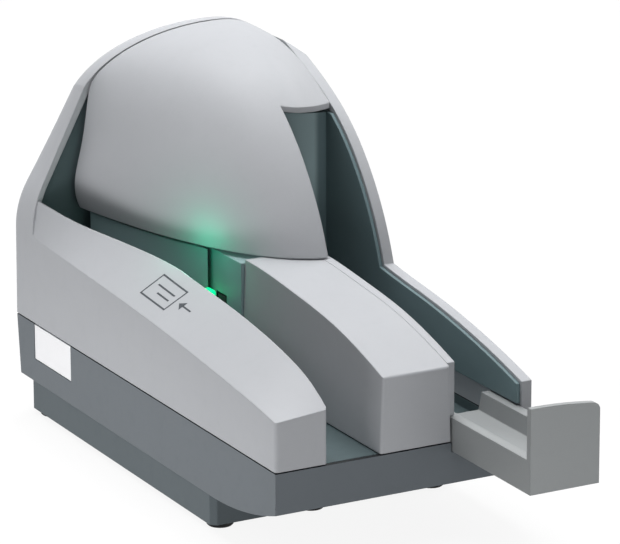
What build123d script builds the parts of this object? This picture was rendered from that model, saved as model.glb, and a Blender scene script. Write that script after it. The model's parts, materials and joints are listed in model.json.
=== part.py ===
"""Cheque scanner with a domed track cover, a feeder slot on the left and a sliding exit tray.

Working frame, in millimetres: X runs from the left outer face (0) to the right, Y from the front
face (0) to the back, Z from the underside of the plinth (0) up. The pieces are moved to the rest
frame, centred under the object at floor level, when they are written.
"""
import os
from math import asin, cos, pi, radians, sin, sqrt

from build123d import *

os.makedirs("parts", exist_ok=True)

# ---------------------------------------------------------------- driving dimensions
WIDTH = 126.0             # over the case
LENGTH = 262.0            # front face to back face
WALL = 2.5                # housing walls
GAP = 0.4                 # working gap between neighbours that move
SEAM = 0.6                # height and depth of the shadow line above the lower case

PLINTH_HEIGHT = 15.3
PLINTH_FRONT = 63.2       # set back of the plinth from the front face
PLINTH_BACK_INSET = 10.3
PLINTH_SIDE_INSET = 1.8
FOOT_HEIGHT = 2.5
FOOT_RADIUS = 6.0
FOOT_SINK = 1.0

BAND_TOP = 43.9           # top of the lower case, and of the deck
NOSE_UNDERSIDE = 25.3     # underside of the lower case at the front face
BAND_DRAFT = 3.0          # how far the back face leans in at its foot

ARM_WIDTH = 25.0          # left arm, beside the feeder slot
SLOT_WIDTH = 25.8         # feeder slot between the arm and the island
ISLAND_WIDTH = 35.2
ISLAND_DRAFT = 1.8        # how far its sides lean in from foot to top
ISLAND_LENGTH = 128.0
RIGHT_WALL = 5.0          # thickness of the right wall

HOOD_FRONT = 242.0        # front face of the rear hood
HOOD_TOP = 180.0
HOOD_CREST = 96.0         # X of the highest point
HOOD_TUCK = 9.0           # how far the hood's back edge is rounded down
TUCK_ASIDE = 0.55         # and this share of it towards the crest
HOOD_WALL = 2.6
FLANK_FOOT = 100.0        # height of the corner where the left flank starts to lean in
FLANK_BEND = 12.0         # that corner is rounded over this length of each side
COVER_WALL = 2.2
COVER_BACK = 240.4        # back edge of the track cover
COVER_FOOT = 98.2         # lower edge of the track cover
LIP_LEFT = 158.3          # top of the rim over the exit pocket, at the pocket's left edge
LIP_RIGHT = 152.0         # and at the right wall
LIP_DEPTH = 2.6
COLUMN_TOP = 147.5        # top of the dark wall behind the pocket

HINGE_X = 90.0            # middle of the hinge
HINGE_Y = 253.0
HINGE_Z = HOOD_TOP - 10.1
PIN_RADIUS = 1.5
HINGE_HUB = 3.0           # radius of the hook's hub
HINGE_ARM = 4.0           # width of each hook
HINGE_SPAN = 26.0         # outside of one hook to the outside of the other
HOOK_INNER = 16.8         # the hooks pass round the hood's front edge at this radius
HOOK_OUTER = 20.0
SEAM_SWEEP = 15.0         # the cover's back edge stays outside this radius about the pin

TRACK_GAP = 2.5           # width of the document track
TRACK_TURN_Y = 205.0      # centre of the turn at the back of the track
TRACK_TOP = 96.0
GUIDE_WALL = 2.0
COLUMN_RADIUS = 28.0      # rounded wall at the back of the exit pocket
COLUMN_Y = 202.0

STRIP_THICKNESS = 3.6     # upright plate at the right of the island
STRIP_RIGHT_CUT = 1.4     # its front part is this much thinner
STRIP_FRONT = 2.5         # and starts this far behind the front face
TRAY_OUT = 64.8           # reach of the tray in front of the case
TRAY_IN = 25.0            # length of tray that stays in the case
TRAY_HEIGHT = 15.1
TRAY_FLOOR = 7.1
TRAY_RIM = 4.8            # width of the flat edge on each side of the trough
TRAY_BEVEL = 1.5
TRAY_SINK = 4.0           # the tray runs this far below the top of the lower case
PLATE_THICKNESS = 3.0
PLATE_HEIGHT = 38.3

RUN_FIT = 0.05            # radial clearance of a shaft in its bush
SHAFT_RADIUS = 3.0
ROLLER_RADIUS = 9.0
PINCH_RADIUS = 6.0
PULLEY_RADIUS = 8.0
PULLEY_WIDTH = 7.0
DECK = 2.4                # thickness of the track deck

# ---------------------------------------------------------------- places that follow from them
DECK_BOTTOM = BAND_TOP - DECK
INNER_RIGHT = WIDTH - RIGHT_WALL
ISLAND_LEFT = ARM_WIDTH + SLOT_WIDTH
ISLAND_RIGHT = ISLAND_LEFT + ISLAND_WIDTH
STRIP_LEFT = ISLAND_RIGHT + GAP
CORE_RIGHT = STRIP_LEFT + STRIP_THICKNESS
CORE_RADIUS = (CORE_RIGHT - ISLAND_LEFT) / 2
CORE_X = ISLAND_LEFT + CORE_RADIUS
TRAY_BOTTOM = BAND_TOP - TRAY_SINK
TRAY_LEFT = ISLAND_RIGHT + GAP
TRAY_RIGHT = INNER_RIGHT - 0.6
FRAME_SHIFT = (-WIDTH / 2, -(LENGTH - TRAY_OUT) / 2, FOOT_HEIGHT)


# ---------------------------------------------------------------- small helpers
def block(x0, x1, y0, y1, z0, z1):
    """A box between two corners."""
    return Pos((x0 + x1) / 2, (y0 + y1) / 2, (z0 + z1) / 2) * Box(x1 - x0, y1 - y0, z1 - z0)


def post(x, y, z0, z1, radius):
    """An upright cylinder."""
    return Pos(x, y, (z0 + z1) / 2) * Cylinder(radius, z1 - z0)


def rod_x(x0, x1, y, z, radius):
    """A cylinder that lies along X."""
    return Pos((x0 + x1) / 2, y, z) * Rot(0, 90, 0) * Cylinder(radius, x1 - x0)


def rod_y(x, y0, y1, z, radius):
    """A cylinder that lies along Y."""
    return Pos(x, (y0 + y1) / 2, z) * Rot(90, 0, 0) * Cylinder(radius, y1 - y0)


def prism_x(points, x0, x1):
    """An outline of (y, z) points pushed along X."""
    return extrude(make_face(Polyline(*[(x0, y, z) for y, z in points], close=True)), x1 - x0, dir=(1, 0, 0))


def prism_y(points, y0, y1):
    """An outline of (x, z) points pushed along Y."""
    return extrude(make_face(Polyline(*[(x, y0, z) for x, z in points], close=True)), y1 - y0, dir=(0, 1, 0))


def prism_z(points, z0, z1):
    """An outline of (x, y) points pushed up."""
    return extrude(make_face(Polyline(*[(x, y, z0) for x, y in points], close=True)), z1 - z0, dir=(0, 0, 1))


def front_uprights(solid):
    """The upright edges of a solid's front face."""
    return [e for e in solid.edges() if abs(e.center().Y) < 0.01 and abs((e @ 0).X - (e @ 1).X) < 0.01]


def export(name, *solids):
    """Write one node in the rest frame."""
    moved = [Pos(*FRAME_SHIFT) * solid for solid in solids]
    shape = moved[0] if len(moved) == 1 else Compound(children=[s.solids()[0] for s in moved])
    export_step(shape, f"parts/{name}.step")
    return name


# ---------------------------------------------------------------- outlines shared by the hood and the cover
ARCH_CENTRE_Z = 140.0     # the top of the hood is an ellipse about this height
ARCH_REACH = 73.8         # its half width to the left
SHOULDER_X = 28.0         # where the straight left flank meets it
RIGHT_FALL = 8.3          # drop of the top from the crest to the inside of the right wall
RIGHT_POWER = 2.5         # the top falls with this power of the way from the crest to the right wall
LEFT_STATIONS = (0.0, 0.12, 0.29, 0.5, 0.74)    # shares of the way from the shoulder to the crest
RIGHT_STATIONS = (0.0, 0.48, 0.84)              # shares of the way from the crest to the right wall


def arch_height(x):
    """Height of the hood's top at x, in the plane of its front face."""
    if x > HOOD_CREST:
        return HOOD_TOP - RIGHT_FALL * ((x - HOOD_CREST) / (INNER_RIGHT - HOOD_CREST)) ** RIGHT_POWER
    return ARCH_CENTRE_Z + (HOOD_TOP - ARCH_CENTRE_Z) * sqrt(1 - ((HOOD_CREST - x) / ARCH_REACH) ** 2)


def arch_outline(y, inset=0.0, tuck=0.0, foot=BAND_TOP):
    """A closed section of the hood at y, drawn in by inset all round and by tuck along its top."""
    left, right, draw = inset, WIDTH - inset, inset + tuck
    lean_in = inset + TUCK_ASIDE * tuck
    xs = [SHOULDER_X + share * (HOOD_CREST - SHOULDER_X) for share in LEFT_STATIONS]
    xs += [HOOD_CREST + share * (INNER_RIGHT - HOOD_CREST) for share in RIGHT_STATIONS]
    top = [Vector(x + lean_in * (HOOD_CREST - x) / ARCH_REACH, y, arch_height(x) - draw) for x in xs]
    top.append(Vector(right, y, arch_height(WIDTH) - draw))
    corner = Vector(left + 0.05 * tuck, y, FLANK_FOOT - 0.15 * tuck)
    bend_start = corner - Vector(0, 0, FLANK_BEND)
    bend_end = corner + (top[0] - corner).normalized() * FLANK_BEND
    low_left, low_right = Vector(left, y, foot), Vector(right, y, foot)
    flank = Line(low_left, bend_start)
    bend = TangentArc(bend_start, bend_end, tangent=(0, 0, 1))
    lean = Line(bend_end, top[0])
    return make_face([flank, bend, lean, Spline(*top), Line(top[-1], low_right), Line(low_right, low_left)])


def hood_body(y0, inset, back):
    """The hood's solid form from y0 to its rounded back."""
    depth = back - y0
    sections = []
    for share in (0.0, 0.35, 0.65, 0.88, 1.0):
        tuck = HOOD_TUCK * (1 - sqrt(1 - share ** 2))
        sections.append(arch_outline(y0 + share * depth, inset, tuck))
    return loft(sections)


# Rails of the cover: left edge in the plane of its back edge, front meridian, right edge by the wall.
LEFT_RAIL = [(24.0, 98.0), (21.3, 110.0), (24.6, 126.0), (27.5, 142.0), (SHOULDER_X + 1.0, 156.5)]
FRONT_RAIL = [(112.0, 98.0), (122.0, 119.0), (136.0, 138.5), (151.0, 153.5), (172.0, 167.0), (200.0, 175.6)]
RIGHT_RAIL = [(127.0, 98.0), (135.0, 114.0), (148.0, 131.0), (160.0, 142.5), (182.0, 156.5), (206.0, 167.0)]
FRONT_RAIL_X = (87.0, HOOD_CREST)
SKIN_BACK = COVER_BACK + 0.3      # the surface runs on this far, so that the back edge is a clean cut
ELLIPSE_START = asin((arch_height(SHOULDER_X) - ARCH_CENTRE_Z) / (HOOD_TOP - ARCH_CENTRE_Z))


def cover_rails():
    """The three curves that carry the cover's surface, from its lower edge to its back edge."""
    left = Spline(*[(x, SKIN_BACK, z) for x, z in LEFT_RAIL])
    count = len(FRONT_RAIL)
    lean = (FRONT_RAIL_X[1] - FRONT_RAIL_X[0]) / count
    front = Spline(*[(FRONT_RAIL_X[0] + i * lean, y, z) for i, (y, z) in enumerate(FRONT_RAIL)],
                   (HOOD_CREST, SKIN_BACK, HOOD_TOP))
    right = Spline(*[(INNER_RIGHT, y, z) for y, z in RIGHT_RAIL], (INNER_RIGHT, SKIN_BACK, arch_height(INNER_RIGHT)))
    return left, front, right


RIGHT_BULGE = 1.25        # the same power at the cover's lower edge


def cover_surface():
    """The outer skin of the dome: elliptical to the left of the front meridian, nearly straight to the right."""
    left, front, right = cover_rails()
    rows = []
    for step in range(13):
        t = step / 12
        power = RIGHT_BULGE + (RIGHT_POWER - RIGHT_BULGE) * t ** 3
        a, m, b = left @ t, front @ t, right @ t
        row = []
        for i in range(9):
            angle = ELLIPSE_START + (pi / 2 - ELLIPSE_START) * i / 9
            across = (cos(ELLIPSE_START) - cos(angle)) / cos(ELLIPSE_START)
            rise = (sin(angle) - sin(ELLIPSE_START)) / (1 - sin(ELLIPSE_START))
            row.append((a.X + (m.X - a.X) * across, a.Y + (m.Y - a.Y) * rise, a.Z + (m.Z - a.Z) * rise))
        for i in range(6):
            across = i / 5
            fall = across ** power
            row.append((m.X + (b.X - m.X) * across, m.Y + (b.Y - m.Y) * fall, m.Z + (b.Z - m.Z) * fall))
        rows.append(row)
    return Face.make_surface_from_array_of_points(rows, tol=0.05, min_deg=3, max_deg=5)


# ---------------------------------------------------------------- lower case
SCREWS = [(22.0, 98.0), (WIDTH - 22.0, 98.0), (22.0, 232.0), (WIDTH - 22.0, 232.0)]
SCREW_RADIUS = 1.5
SCREW_HEAD = 3.0
LABEL_Y = (203.0, 243.0)
LABEL_FOOT = 26.5
LABEL_DEPTH = 0.8
BOARD_Z = 20.0
BOARD_THICKNESS = 1.6
BOARD_X = (28.5, WIDTH - 28.5)
BOARD_Y = (176.0, 246.0)
USB_X = (30.0, 42.0)
INLET_X = (60.0, 70.0)
SOCKET_TOP = BOARD_Z + BOARD_THICKNESS + 11.0
SOCKET_BACK = LENGTH - 1.6


def band_profile(inset, top):
    """Side view of the lower case: the underside lifts in one long curve towards the front."""
    foot = PLINTH_HEIGHT + inset
    nose = NOSE_UNDERSIDE + inset
    front = inset
    curve = ThreePointArc((0, front, nose), (0, PLINTH_FRONT * 0.45, foot + (nose - foot) * 0.28), (0, PLINTH_FRONT, foot))
    back_foot = LENGTH - BAND_DRAFT - inset
    corners = [(0, PLINTH_FRONT, foot), (0, back_foot, foot), (0, LENGTH - inset, top), (0, front, top), (0, front, nose)]
    return make_face([curve] + [Line(a, b) for a, b in zip(corners, corners[1:])])


def lower_case():
    """The dark band: an open-topped tub whose floor stands on the plinth."""
    tub = extrude(band_profile(0, BAND_TOP), WIDTH, dir=(1, 0, 0))
    tub -= Pos(WALL, 0, 0) * extrude(band_profile(WALL, BAND_TOP + 1), WIDTH - 2 * WALL, dir=(1, 0, 0))
    for x, y in SCREWS:
        tub += post(x, y, PLINTH_HEIGHT, DECK_BOTTOM, 4.0)
        tub -= post(x, y, PLINTH_HEIGHT - 1, PLINTH_HEIGHT + 10, SCREW_RADIUS)
    for x in (BOARD_X[0] + 5, BOARD_X[1] - 5):
        for y in (BOARD_Y[0] + 5, BOARD_Y[1] - 5):
            tub += post(x, y, PLINTH_HEIGHT, BOARD_Z, 3.0)
    tub -= block(MOTOR[0] - 24, MOTOR[0] + 24, MOTOR[1] - 24, MOTOR[1] + 24, PLINTH_HEIGHT - 1, PLINTH_HEIGHT + WALL + 1)
    tub -= block(TRAY_LEFT - GAP, TRAY_RIGHT + GAP, -1, WALL + 1, TRAY_BOTTOM - 0.3, BAND_TOP + 1)
    tub -= block(-1, LABEL_DEPTH, *LABEL_Y, LABEL_FOOT, BAND_TOP + 1)
    tub -= block(USB_X[0] - 0.3, USB_X[1] + 0.3, LENGTH - 6, LENGTH + 1, BOARD_Z + BOARD_THICKNESS - 0.3, SOCKET_TOP + 0.3)
    tub -= block(INLET_X[0] - 0.3, INLET_X[1] + 0.3, LENGTH - 6, LENGTH + 1, BOARD_Z + BOARD_THICKNESS - 0.3, SOCKET_TOP + 0.3)
    return tub


def label_plate():
    """The bare plate let into the left side."""
    return block(0.2, LABEL_DEPTH, LABEL_Y[0] + 0.3, LABEL_Y[1] - 0.3, LABEL_FOOT + 0.3, BAND_TOP - 0.3)


# ---------------------------------------------------------------- plinth, feet and screws
FEET = [(9.5, PLINTH_FRONT + 7.5), (55.0, PLINTH_FRONT + 7.5), (WIDTH - 9.5, PLINTH_FRONT + 7.5),
        (9.5, LENGTH - PLINTH_BACK_INSET - 8), (WIDTH - 9.5, LENGTH - PLINTH_BACK_INSET - 8)]


def plinth():
    """The bottom pan, inset under the lower case."""
    x0, x1 = PLINTH_SIDE_INSET, WIDTH - PLINTH_SIDE_INSET
    y0, y1 = PLINTH_FRONT, LENGTH - PLINTH_BACK_INSET
    pan = block(x0, x1, y0, y1, 0, PLINTH_HEIGHT)
    pan = chamfer(pan.edges().filter_by(Axis.Z), 2.5)
    pan -= block(x0 + WALL, x1 - WALL, y0 + WALL, y1 - WALL, WALL, PLINTH_HEIGHT + 1)
    for x, y in SCREWS:
        pan += post(x, y, 0, PLINTH_HEIGHT, 5.0)
        pan -= post(x, y, -1, PLINTH_HEIGHT + 1, SCREW_RADIUS + 0.2)
        pan -= post(x, y, -1, 3.0, SCREW_HEAD + 0.3)
    for x, y in FEET:
        pan -= post(x, y, -1, FOOT_SINK, FOOT_RADIUS + 0.1)
    return pan


def rubber_feet():
    """Five round feet, slightly domed, pressed into pockets of the plinth."""
    feet = []
    for x, y in FEET:
        foot = post(x, y, -FOOT_HEIGHT, FOOT_SINK, FOOT_RADIUS)
        feet.append(chamfer(foot.edges().sort_by(Axis.Z)[0], 0.6))
    return feet


def case_screws():
    """The four screws that close the case from below."""
    return [post(x, y, 1.0, 3.0, SCREW_HEAD) + post(x, y, 3.0, PLINTH_HEIGHT + 9, SCREW_RADIUS) for x, y in SCREWS]


# ---------------------------------------------------------------- track deck
def track_deck():
    """The floor of the slot and the pocket, with a sunk channel for the tray."""
    edge = WALL + 0.2
    deck = block(edge, WIDTH - edge, edge, LENGTH - edge - GAP, DECK_BOTTOM, BAND_TOP)
    channel_floor = TRAY_BOTTOM - 0.3
    back = TRAY_IN + TRAY_TRAVEL + 4
    deck += block(TRAY_LEFT - GAP - 2, WIDTH - edge, edge, back + 2, channel_floor - 2, BAND_TOP)
    deck -= block(TRAY_LEFT - GAP, TRAY_RIGHT + GAP, 0, back, channel_floor, BAND_TOP + 1)
    for x, y in SHAFTS.values():
        deck -= post(x, y, DECK_BOTTOM - 1, BAND_TOP + 1, BUSH_RADIUS)
    return deck


# ---------------------------------------------------------------- upper case
ARM_STRAIGHT = 136.0      # the arm keeps its width up to here
WALL_TOP = [(0.0, 66.0), (40.0, 75.5), (80.0, 82.0), (111.0, 85.5), (122.0, 87.0)]
# Stations of the arm's top: y, X of its edge above the slot, height of its outer ridge, height of that edge.
ARM_TOP = [(0.0, ARM_WIDTH, 66.7, 69.0), (8.0, ARM_WIDTH, 68.0, 73.6), (26.0, ARM_WIDTH, 70.4, 80.6),
           (73.0, ARM_WIDTH, 75.4, 88.7), (ARM_STRAIGHT, ARM_WIDTH, 80.6, 94.3), (180.0, 17.5, 83.2, 97.3),
           (216.0, 8.0, 85.1, 100.4), (240.0, 3.4, 86.6, 103.5), (HOOD_FRONT + 2, HOOD_WALL, 87.0, 104.4)]
ARM_END = HOOD_FRONT + 1


def arm_form():
    """The arm's block under a top that is straight from the outer ridge to the edge above the slot."""
    rows = [[(share * edge, y, ridge + (inner - ridge) * share) for share in (-0.1, 0.3, 0.7, 1.1)]
            for y, edge, ridge, inner in ARM_TOP]
    top = Face.make_surface_from_array_of_points(rows, tol=0.05, min_deg=3, max_deg=5)
    return extrude(top, HOOD_TOP, dir=(0, 0, -1)) & block(0, ARM_WIDTH, 0, ARM_END, BAND_TOP, HOOD_TOP)


def arm():
    """The hollow left arm; behind its straight part it thins out along the slot's round end."""
    form = arm_form()
    form = fillet(front_uprights(form), 1.5)
    hollow = Pos(0, 0, -WALL * 1.1) * arm_form() & block(WALL, ARM_WIDTH - WALL, WALL, ARM_STRAIGHT, 0, HOOD_TOP)
    hollow += block(WALL, ARM_WIDTH - WALL, WALL, ARM_STRAIGHT, BAND_TOP - 1, BAND_TOP + 15)
    edge = [(x, y, 0) for y, x, ridge, inner in ARM_TOP if y >= ARM_STRAIGHT]
    corners = [edge[-1], (-1, edge[-1][1], 0), (-1, -1, 0), (ARM_WIDTH, -1, 0), edge[0]]
    plan = make_face([Spline(*edge)] + [Line(a, b) for a, b in zip(corners, corners[1:])])
    return (form & extrude(plan, HOOD_TOP, dir=(0, 0, 1))) - hollow


def wall_side(x, thickness):
    """A plate with the right wall's side outline; its rail carries on the cover's outline."""
    rail = [(x, y, z) for y, z in [WALL_TOP[-1]] + RIGHT_RAIL[1:]] + [(x, HOOD_FRONT + 1, HOOD_TOP)]
    low = [(x, y, z) for y, z in WALL_TOP]
    corners = [rail[-1], (x, HOOD_FRONT + 1, BAND_TOP), (x, 0, BAND_TOP), low[0]]
    face = make_face([Spline(*low), Spline(*rail)] + [Line(a, b) for a, b in zip(corners, corners[1:])])
    return extrude(face, thickness, dir=(1, 0, 0))


def right_wall():
    """The thin wall beside the exit pocket."""
    return wall_side(INNER_RIGHT, RIGHT_WALL) & extrude(arch_outline(-1), HOOD_FRONT + 3, dir=(0, 1, 0))


def hinge_ears(body):
    """Two ears under the hood's top that hold the hinge pin."""
    inside = HINGE_SPAN / 2 - HINGE_ARM - GAP
    skin = hood_body(HOOD_FRONT, 1.0, LENGTH - 1.0)
    for side in (-1, 1):
        x = sorted((HINGE_X + side * inside, HINGE_X + side * (inside - 3.0)))
        ear = block(*x, HINGE_Y - 4, HINGE_Y + 3.5, HINGE_Z - 3.5, HINGE_Z + 9)
        body += ear & skin
    return body - rod_x(HINGE_X - HINGE_SPAN, HINGE_X + HINGE_SPAN, HINGE_Y, HINGE_Z, PIN_RADIUS)


def shadow_line(width_box):
    """The groove round the foot of a housing that leaves a dark line above the lower case."""
    x0, x1, y0, y1 = width_box
    outside = block(x0 - 1, x1 + 1, y0 - 1, y1 + 1, BAND_TOP - 1, BAND_TOP + SEAM)
    return outside - block(x0 + 1, x1 - 1, y0 + 1, y1 - 1, BAND_TOP - 2, BAND_TOP + SEAM + 1)


def upper_case():
    """One moulding: left arm, rear hood and right wall."""
    hood = hood_body(HOOD_FRONT, 0, LENGTH) - hood_body(HOOD_FRONT - 1, HOOD_WALL, LENGTH - HOOD_WALL)
    body = hood + arm() + right_wall()
    body = hinge_ears(body)
    return body - shadow_line((0, WIDTH, 0, LENGTH))


def hinge_pin():
    """Steel pin through the ears and the cover's hooks."""
    half = HINGE_SPAN / 2 + 0.5
    return rod_x(HINGE_X - half, HINGE_X + half, HINGE_Y, HINGE_Z, PIN_RADIUS)


# ---------------------------------------------------------------- track cover
def hinge_hook(x0, x1):
    """A hook that reaches from the cover under the hood and round to the pin."""
    ring = rod_x(x0, x1, HINGE_Y, HINGE_Z, HOOK_OUTER) - rod_x(x0 - 1, x1 + 1, HINGE_Y, HINGE_Z, HOOK_INNER)
    far = 2 * HOOK_OUTER
    top = radians(157)
    wedge = [(0, 0), (far * cos(top), far * sin(top)), (-far, -far), (2.0, -far), (2.0, 0)]
    ring &= prism_x([(HINGE_Y + y, HINGE_Z + z) for y, z in wedge], x0, x1)
    bar = block(x0, x1, HINGE_Y - 2, HINGE_Y + 2, HINGE_Z - HOOK_OUTER + 1, HINGE_Z)
    hub = rod_x(x0, x1, HINGE_Y, HINGE_Z, HINGE_HUB)
    return ring + bar + hub - rod_x(x0 - 1, x1 + 1, HINGE_Y, HINGE_Z, PIN_RADIUS + RUN_FIT)


def lip_height(x):
    """Height of the top of the rim over the exit pocket."""
    return LIP_LEFT + (LIP_RIGHT - LIP_LEFT) * (x - ISLAND_RIGHT) / (INNER_RIGHT - ISLAND_RIGHT)


def under_lip(x0, drop):
    """All that lies right of x0 and lower than drop under the top of the rim."""
    x1 = WIDTH + 1
    return prism_y([(x0, 0), (x1, 0), (x1, lip_height(x1) - drop), (x0, lip_height(x0) - drop)], 0, COVER_BACK + 1)


def track_cover():
    """The domed cover: a thin skin, open over the exit pocket, with a rim along that opening."""
    skin = Part() + Solid.thicken(cover_surface(), COVER_WALL)
    skin &= block(0, INNER_RIGHT - GAP, 0, COVER_BACK, COVER_FOOT, HOOD_TOP + 1)
    edge = ISLAND_RIGHT + 0.5
    slope = lip_height(edge + 1) - lip_height(edge)
    rim_plane = Plane(origin=(edge, 0, lip_height(edge)), x_dir=(1, 0, slope), z_dir=(-slope, 0, 1))
    rim = extrude(section(skin, rim_plane), LIP_DEPTH, dir=(0, 0, -1)) & block(edge, WIDTH, 0, 210, 0, HOOD_TOP)
    skin -= under_lip(edge, 0)
    skin += rim
    skin -= rod_x(HOOD_CREST - 16, HOOD_CREST + 14, HINGE_Y, HINGE_Z, SEAM_SWEEP)
    left = HINGE_X - HINGE_SPAN / 2
    right = HINGE_X + HINGE_SPAN / 2
    return skin + hinge_hook(left, left + HINGE_ARM) + hinge_hook(right - HINGE_ARM, right)


# ---------------------------------------------------------------- island, strip and pocket
ISLAND_TOP = [(0.0, 78.6), (20.0, 84.6), (46.0, 90.4), (84.0, 95.0), (111.0, 97.3), (ISLAND_LENGTH, 97.7)]


def island_form(inset, y1):
    """The island's tapered block with its curved top."""
    top = Spline(*[(0, y + (inset if y == 0 else 0), z - inset) for y, z in ISLAND_TOP])
    start, end = top @ 0, top @ 1
    foot = BAND_TOP - inset
    corners = [(0, end.Y, end.Z), (0, y1, end.Z), (0, y1, foot), (0, start.Y, foot), (0, start.Y, start.Z)]
    lines = [Line(a, b) for a, b in zip(corners, corners[1:]) if a != b]
    side = extrude(make_face([top] + lines), WIDTH, dir=(1, 0, 0))
    high = 110.0
    draft = ISLAND_DRAFT * (high - BAND_TOP) / (ISLAND_TOP[-1][1] - BAND_TOP)
    front = [(ISLAND_LEFT + inset, foot), (ISLAND_RIGHT - inset, foot),
             (ISLAND_RIGHT - draft - inset, high), (ISLAND_LEFT + draft + inset, high)]
    return side & prism_y(front, -1, y1 + 1)


def island_cover():
    """The hollow block between the feeder slot and the exit pocket."""
    form = island_form(0, ISLAND_LENGTH + 0.01)
    front = form.faces().sort_by(Axis.Y)[0]
    form = fillet(front.edges().filter_by(lambda e: e.center().Z > BAND_TOP + 1), 1.2)
    form -= island_form(WALL, ISLAND_LENGTH + 5)
    return form - shadow_line((ISLAND_LEFT, ISLAND_RIGHT, 0, 2 * LENGTH))


def exit_guide():
    """The upright strip flush with the island's right side; the tray passes under its front part."""
    end = CORE_STEP_Y
    high = ISLAND_TOP[-1][1]
    clear = TRAY_BOTTOM + TRAY_HEIGHT + GAP
    back = TRAY_IN + TRAY_TRAVEL + 6
    start = ISLAND_TOP[0][1] + 0.35 * STRIP_FRONT
    top = [(0, STRIP_FRONT, start)] + [(0, y, z) for y, z in ISLAND_TOP[1:]]
    corners = [top[-1], (0, end, high), (0, end, BAND_TOP), (0, back, BAND_TOP), (0, back, clear),
               (0, STRIP_FRONT, clear), top[0]]
    side = make_face([Spline(*top)] + [Line(a, b) for a, b in zip(corners, corners[1:])])
    seam = 0.1
    front = [(ISLAND_RIGHT + seam, BAND_TOP - 1), (CORE_RIGHT - STRIP_RIGHT_CUT, BAND_TOP - 1),
             (CORE_RIGHT - STRIP_RIGHT_CUT, high + 1), (ISLAND_RIGHT - ISLAND_DRAFT + seam, high + 1)]
    profile = extrude(side, WIDTH, dir=(1, 0, 0))
    return (profile & prism_y(front, 0, ISLAND_LENGTH)) + (profile & block(STRIP_LEFT, CORE_RIGHT, ISLAND_LENGTH, end, 0, high))


LINER_THICKNESS = 1.6
LINER_FOOT = TRAY_BOTTOM + TRAY_HEIGHT + 1.0     # the tray passes under the liner
LINER_RIM = 1.2           # it ends this far inside the edge of the right wall


def pocket_column():
    """The dark lining of the exit pocket: a rounded wall at its back and a thin plate on the right wall."""
    centre = (INNER_RIGHT, COLUMN_Y)
    wall = post(*centre, BAND_TOP, COLUMN_TOP, COLUMN_RADIUS)
    wall -= post(*centre, BAND_TOP - 1, HOOD_TOP, COLUMN_RADIUS - GUIDE_WALL)
    wall &= block(0, INNER_RIGHT - 0.2, 0, COLUMN_Y, 0, HOOD_TOP)
    x0 = INNER_RIGHT - COLUMN_RADIUS
    wall += block(x0, x0 + GUIDE_WALL, COLUMN_Y, TRACK_TURN_Y - 0.2, BAND_TOP, TRACK_TOP)
    wall -= post(*EXIT_PINCH, BAND_TOP - 1, ROLLER_Z[1] + 3, PINCH_RADIUS + 0.6)
    liner = Pos(0, LINER_RIM, -LINER_RIM) * wall_side(INNER_RIGHT - 0.2 - LINER_THICKNESS, LINER_THICKNESS)
    return wall + (liner & block(0, WIDTH, 0, COLUMN_Y, LINER_FOOT, COLUMN_TOP))


# ---------------------------------------------------------------- exit tray
TRAY_TRAVEL = 60.0


def exit_tray():
    """The sliding trough with its upright end plate."""
    x0, x1 = TRAY_LEFT, TRAY_RIGHT
    z0, z1 = TRAY_BOTTOM, TRAY_BOTTOM + TRAY_HEIGHT
    floor = z0 + TRAY_FLOOR
    profile = [(x0, z0), (x1, z0), (x1, z1), (x1 - TRAY_RIM, z1), (x1 - TRAY_RIM - TRAY_BEVEL, floor),
               (x0 + TRAY_RIM + TRAY_BEVEL, floor), (x0 + TRAY_RIM, z1), (x0, z1)]
    trough = prism_y(profile, -TRAY_OUT + 0.5, TRAY_IN)
    trough -= block(x0 + 4, x1 - 4, -TRAY_OUT + 8, TRAY_IN - 4, z0 - 1, z0 + TRAY_FLOOR - WALL)
    y, top = -TRAY_OUT, z0 + PLATE_HEIGHT
    left, crown, right = (x0, y, top - 0.2), (x0 + 14, y, top - 0.5), (x1 - 3, y, top - 2.1)
    corner = (x1, y, top - 5.2)
    outline = [ThreePointArc(left, crown, right), ThreePointArc(right, (x1 - 0.9, y, top - 3.2), corner)]
    outline += [Line(corner, (x1, y, z0)), Line((x1, y, z0), (x0, y, z0)), Line((x0, y, z0), left)]
    plate = extrude(make_face(outline), PLATE_THICKNESS, dir=(0, 1, 0))
    return trough + plate


# ---------------------------------------------------------------- document track
CORE_FRONT_Y = ISLAND_LENGTH + GAP
CORE_STEP_Y = CORE_FRONT_Y + 36.6      # the core widens here, behind the strip


def along_track(share):
    """Y at a share of the straight track, from its mouth to the start of the turn."""
    return CORE_FRONT_Y + share * (TRACK_TURN_Y - CORE_FRONT_Y)


ROLLER_PROUD = 0.8        # the rollers stand this far into the track
LEFT_SHAFT_X = ISLAND_LEFT + ROLLER_RADIUS - ROLLER_PROUD
SHAFTS = {"feed": (LEFT_SHAFT_X, along_track(0.256)),
          "drive": (LEFT_SHAFT_X, along_track(0.7)),
          "exit": (CORE_RIGHT - ROLLER_RADIUS + ROLLER_PROUD, along_track(0.804))}
ROLLER_Z = (54.0, 76.0)
NIP = 0.3
DRIVE_PINCH = (SHAFTS["drive"][0] - ROLLER_RADIUS - NIP - PINCH_RADIUS, SHAFTS["drive"][1])
EXIT_PINCH = (SHAFTS["exit"][0] + ROLLER_RADIUS + NIP + PINCH_RADIUS, SHAFTS["exit"][1])
PINCH_AXLE = 1.5
BUSH_RADIUS = 5.0
MOTOR = (86.0, 140.0)
MOTOR_RADIUS = 17.5
MOTOR_PULLEY = 5.0
MOTOR_TOP = 29.0
PULLEY_Z = DECK_BOTTOM - 8.5
BELT = 1.2
SKIRT_INSET = 4.0


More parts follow.
